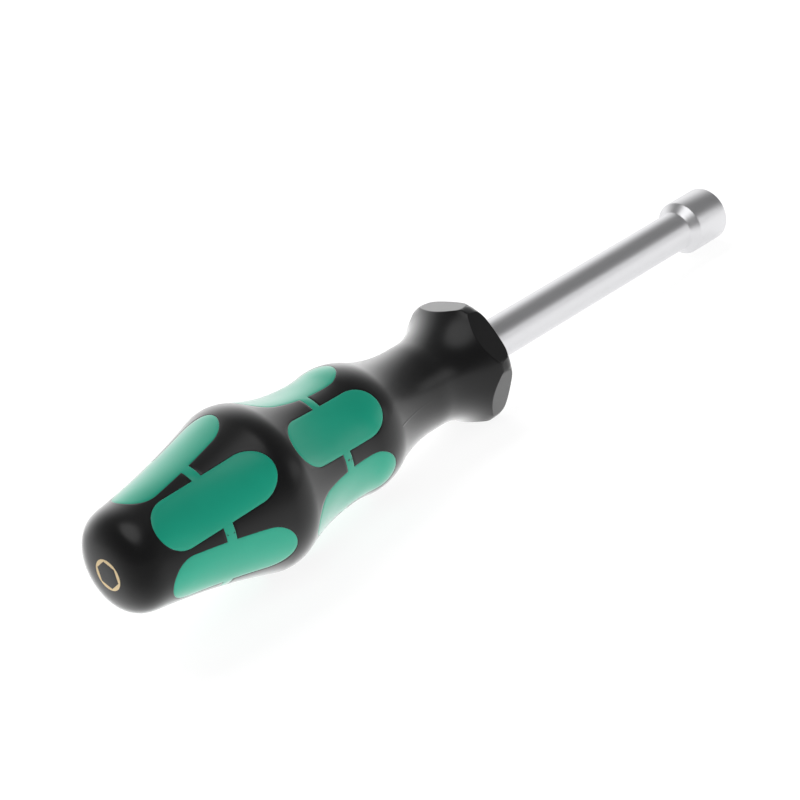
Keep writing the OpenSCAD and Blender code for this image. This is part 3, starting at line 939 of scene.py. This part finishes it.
class NUTDRIVER_OT_blade(bpy.types.Operator):
    """Turn the steel blade: tang with wings, hollow shaft, head and hexagonal socket"""
    bl_idname = "nut_driver.blade"
    bl_label = "Blade"

    def execute(self, context):
        sizes = context.scene.nut_driver_blade
        shaft_r = sizes.shaft_d / 2
        head_r = SOCKET_HEAD["r_mm"] * MM
        rod_r = ROD_BORE["r_mm"] * MM
        corner_r = sizes.socket_af / 2 / math.cos(SECTOR / 2)
        head_x = MOUTH_X - sizes.head_len
        floor_x = MOUTH_X - sizes.socket_depth
        bore_x = floor_x - ROD_BORE["length_mm"] * MM
        tang_x = BLADE_BOX[0].x
        wing_x = tang_x + sizes.wing_back

        def lead_in(turn):
            r = hexagon_r(sizes.socket_af, turn)
            return ring_point(MOUTH_X - corner_r + r, r, turn)

        bm = bmesh.new()
        start = bmesh.ops.create_circle(
            bm, cap_ends=True, segments=BLADE_ROUND, radius=shaft_r - sizes.tang_bevel,
            matrix=Matrix.Translation((tang_x, 0, 0)) @ Matrix.Rotation(math.pi / 2, 4, "Y"))["verts"]
        loop = [e for e in bm.edges if set(e.verts) <= set(start)]
        # Place and radius of each turned edge, and whether it is rounded
        turned = (
            (tang_x + sizes.tang_bevel, shaft_r, False),
            (wing_x, shaft_r, False),
            (wing_x + sizes.wing_len, shaft_r, False),
            (head_x - sizes.shoulder_len, shaft_r, True),
            (head_x, head_r, True),
            (MOUTH_X - sizes.mouth_bevel, head_r, True),
            (MOUTH_X, head_r - sizes.mouth_bevel, True),
            (MOUTH_X, corner_r, False),
        )
        rounded = []
        for x, r, soft in turned:
            loop = next_ring(bm, loop, lambda turn: ring_point(x, r, turn))
            if soft:
                rounded += loop
        loop = next_ring(bm, loop, lead_in)
        loop = next_ring(bm, loop, lambda turn: ring_point(floor_x, hexagon_r(sizes.socket_af, turn), turn))
        for x in (floor_x, bore_x):
            loop = next_ring(bm, loop, lambda turn: ring_point(x, rod_r, turn))
        close_pole(bm, loop, bore_x - rod_r / math.tan(sizes.drill_angle / 2))

        # The wings, pressed out of the tang above and below
        for side in (-1, 1):
            strip = [
                f for f in bm.faces
                if wing_x - IN_LINE < min(v.co.x for v in f.verts)
                and max(v.co.x for v in f.verts) < wing_x + sizes.wing_len + IN_LINE
                and all(side * v.co.z > 0 and abs(v.co.y) < sizes.wing_t / 2 + WING_SLACK for v in f.verts)]
            made = bmesh.ops.extrude_face_region(bm, geom=strip)["geom"]
            bmesh.ops.delete(bm, geom=strip, context="FACES")
            for vert in made:
                if isinstance(vert, bmesh.types.BMVert):
                    vert.co.z = side * sizes.wing_span / 2
        bmesh.ops.recalc_face_normals(bm, faces=bm.faces)
        round_edges(bm, [e for e in rounded if e.is_valid], sizes.edge_round, segments=3)
        make_object(bm, "steel_blade", satin_chrome(), "blade", sharp=30)
        return {"FINISHED"}


class NUTDRIVER_OT_shell(bpy.types.Operator):
    """Mould the hard shell: butt, ridges, bulges, neck and collar, with pockets for the pads"""
    bl_idname = "nut_driver.shell"
    bl_label = "Shell"

    def execute(self, context):
        form = HandleForm(context.scene.nut_driver_handle, context.scene.nut_driver_grip)
        bm = handle_skin(form)
        parting_line(bm, form)
        rims = sink_soft(bm, form, keep=False)
        round_edges(bm, rims, form.grip.hard_edge, segments=2)
        make_object(bm, "hard_shell", hard_black(), "handle_shell")
        return {"FINISHED"}


class NUTDRIVER_OT_grips(bpy.types.Operator):
    """Mould the two soft rings of pads and bridges"""
    bl_idname = "nut_driver.grips"
    bl_label = "Grips"

    def execute(self, context):
        form = HandleForm(context.scene.nut_driver_handle, context.scene.nut_driver_grip)
        finish = soft_green()
        for ring, name, node in zip(form.rings, ("rear_pads", "front_pads"), ("rear_grip", "front_grip")):
            bm = pad_ring(form, ring[0], ring[1])
            hard = [f for f in bm.faces if f.material_index == HARD]
            bmesh.ops.delete(bm, geom=hard, context="FACES")
            rims = sink_soft(bm, form, keep=True)
            bmesh.ops.recalc_face_normals(bm, faces=bm.faces)
            round_edges(bm, rims, form.grip.soft_edge, segments=3)
            make_object(bm, name, finish, node)
        return {"FINISHED"}


class NUTDRIVER_OT_core(bpy.types.Operator):
    """Give the unseen core its plastic"""
    bl_idname = "nut_driver.core"
    bl_label = "Core"

    def execute(self, context):
        core = frame["nodes"]["handle_core"]
        core.data.materials.clear()
        core.data.materials.append(core_plastic())
        return {"FINISHED"}


class NUTDRIVER_OT_symbol(bpy.types.Operator):
    """Stamp the drive symbol on the butt: a gold ring with a bare hexagon"""
    bl_idname = "nut_driver.symbol"
    bl_label = "Symbol"

    def execute(self, context):
        sizes = context.scene.nut_driver_print
        form = HandleForm(context.scene.nut_driver_handle, context.scene.nut_driver_grip)
        centre = Vector((0, sizes.off_y, sizes.off_z))

        def on_butt(co, lift):
            spot = co + centre
            full = math.hypot(spot.y, spot.z) / form.side_r(0)
            s = form.handle.butt_round * (1 - quarter(full, form.handle.butt_fullness))
            return Vector((BUTT_X + s - lift, spot.y, spot.z))

        def hexagon_hole(turn):
            # Corners point up and down
            return sizes.hexagon_d / 2 * math.cos(SECTOR / 2) / math.cos(from_middle(turn + SECTOR / 2))

        bm = bmesh.new()
        bmesh.ops.create_circle(
            bm, segments=BLADE_ROUND, radius=sizes.ring_d / 2, matrix=Matrix.Rotation(math.pi / 2, 4, "Y"))
        loop = bm.edges[:]
        inner = next_ring(bm, loop, lambda turn: ring_point(0, hexagon_hole(turn), turn))
        spokes = [e for e in bm.edges if e not in set(loop) | set(inner)]
        bmesh.ops.subdivide_edges(bm, edges=spokes, cuts=FOIL_CUTS, use_grid_fill=True)
        made = bmesh.ops.extrude_face_region(bm, geom=bm.faces[:], use_keep_orig=True)["geom"]
        lifted = {v for v in made if isinstance(v, bmesh.types.BMVert)}
        for vert in bm.verts:
            vert.co = on_butt(vert.co, sizes.film if vert in lifted else 0)
        bmesh.ops.recalc_face_normals(bm, faces=bm.faces)
        make_object(bm, "drive_symbol", gold_foil(), None)
        return {"FINISHED"}


class NUTDRIVER_OT_stage(bpy.types.Operator):
    """Set up the camera, the white floor and the soft studio light"""
    bl_idname = "nut_driver.stage"
    bl_label = "Stage"

    def execute(self, context):
        scene = context.scene
        scene.view_settings.view_transform = "Standard"
        for step in (place_camera, lay_floor, hang_softbox, light_room):
            step(scene, scene.nut_driver_studio)
        return {"FINISHED"}


class NUTDRIVER_PT_panel(bpy.types.Panel):
    """Buttons for the pieces"""
    bl_idname = "NUTDRIVER_PT_panel"
    bl_label = "Nut Driver"
    bl_space_type = "VIEW_3D"
    bl_region_type = "UI"
    bl_category = "Nut Driver"

    def draw(self, context):
        for operator in OPERATORS:
            self.layout.operator(operator.bl_idname)


OPERATORS = (
    NUTDRIVER_OT_stage,
    NUTDRIVER_OT_blade,
    NUTDRIVER_OT_core,
    NUTDRIVER_OT_shell,
    NUTDRIVER_OT_grips,
    NUTDRIVER_OT_symbol,
)
GROUPS = {
    "nut_driver_blade": BladeSizes,
    "nut_driver_handle": HandleSizes,
    "nut_driver_grip": GripSizes,
    "nut_driver_print": PrintSizes,
    "nut_driver_finish": Finishes,
    "nut_driver_studio": StudioSettings,
}


def register():
    """Registers the settings, the operators and the panel."""
    for name, group in GROUPS.items():
        bpy.utils.register_class(group)
        setattr(bpy.types.Scene, name, PointerProperty(type=group))
    for operator in OPERATORS:
        bpy.utils.register_class(operator)
    bpy.utils.register_class(NUTDRIVER_PT_panel)


def unregister():
    """Takes them away again, the panel first."""
    bpy.utils.unregister_class(NUTDRIVER_PT_panel)
    for operator in reversed(OPERATORS):
        bpy.utils.unregister_class(operator)
    for name, group in GROUPS.items():
        delattr(bpy.types.Scene, name)
        bpy.utils.unregister_class(group)


def main():
    """Builds the stage and the pieces."""
    register()
    bpy.ops.nut_driver.stage()
    bpy.ops.nut_driver.blade()
    bpy.ops.nut_driver.core()
    bpy.ops.nut_driver.shell()
    bpy.ops.nut_driver.grips()
    bpy.ops.nut_driver.symbol()


if __name__ == "__main__":
    main()
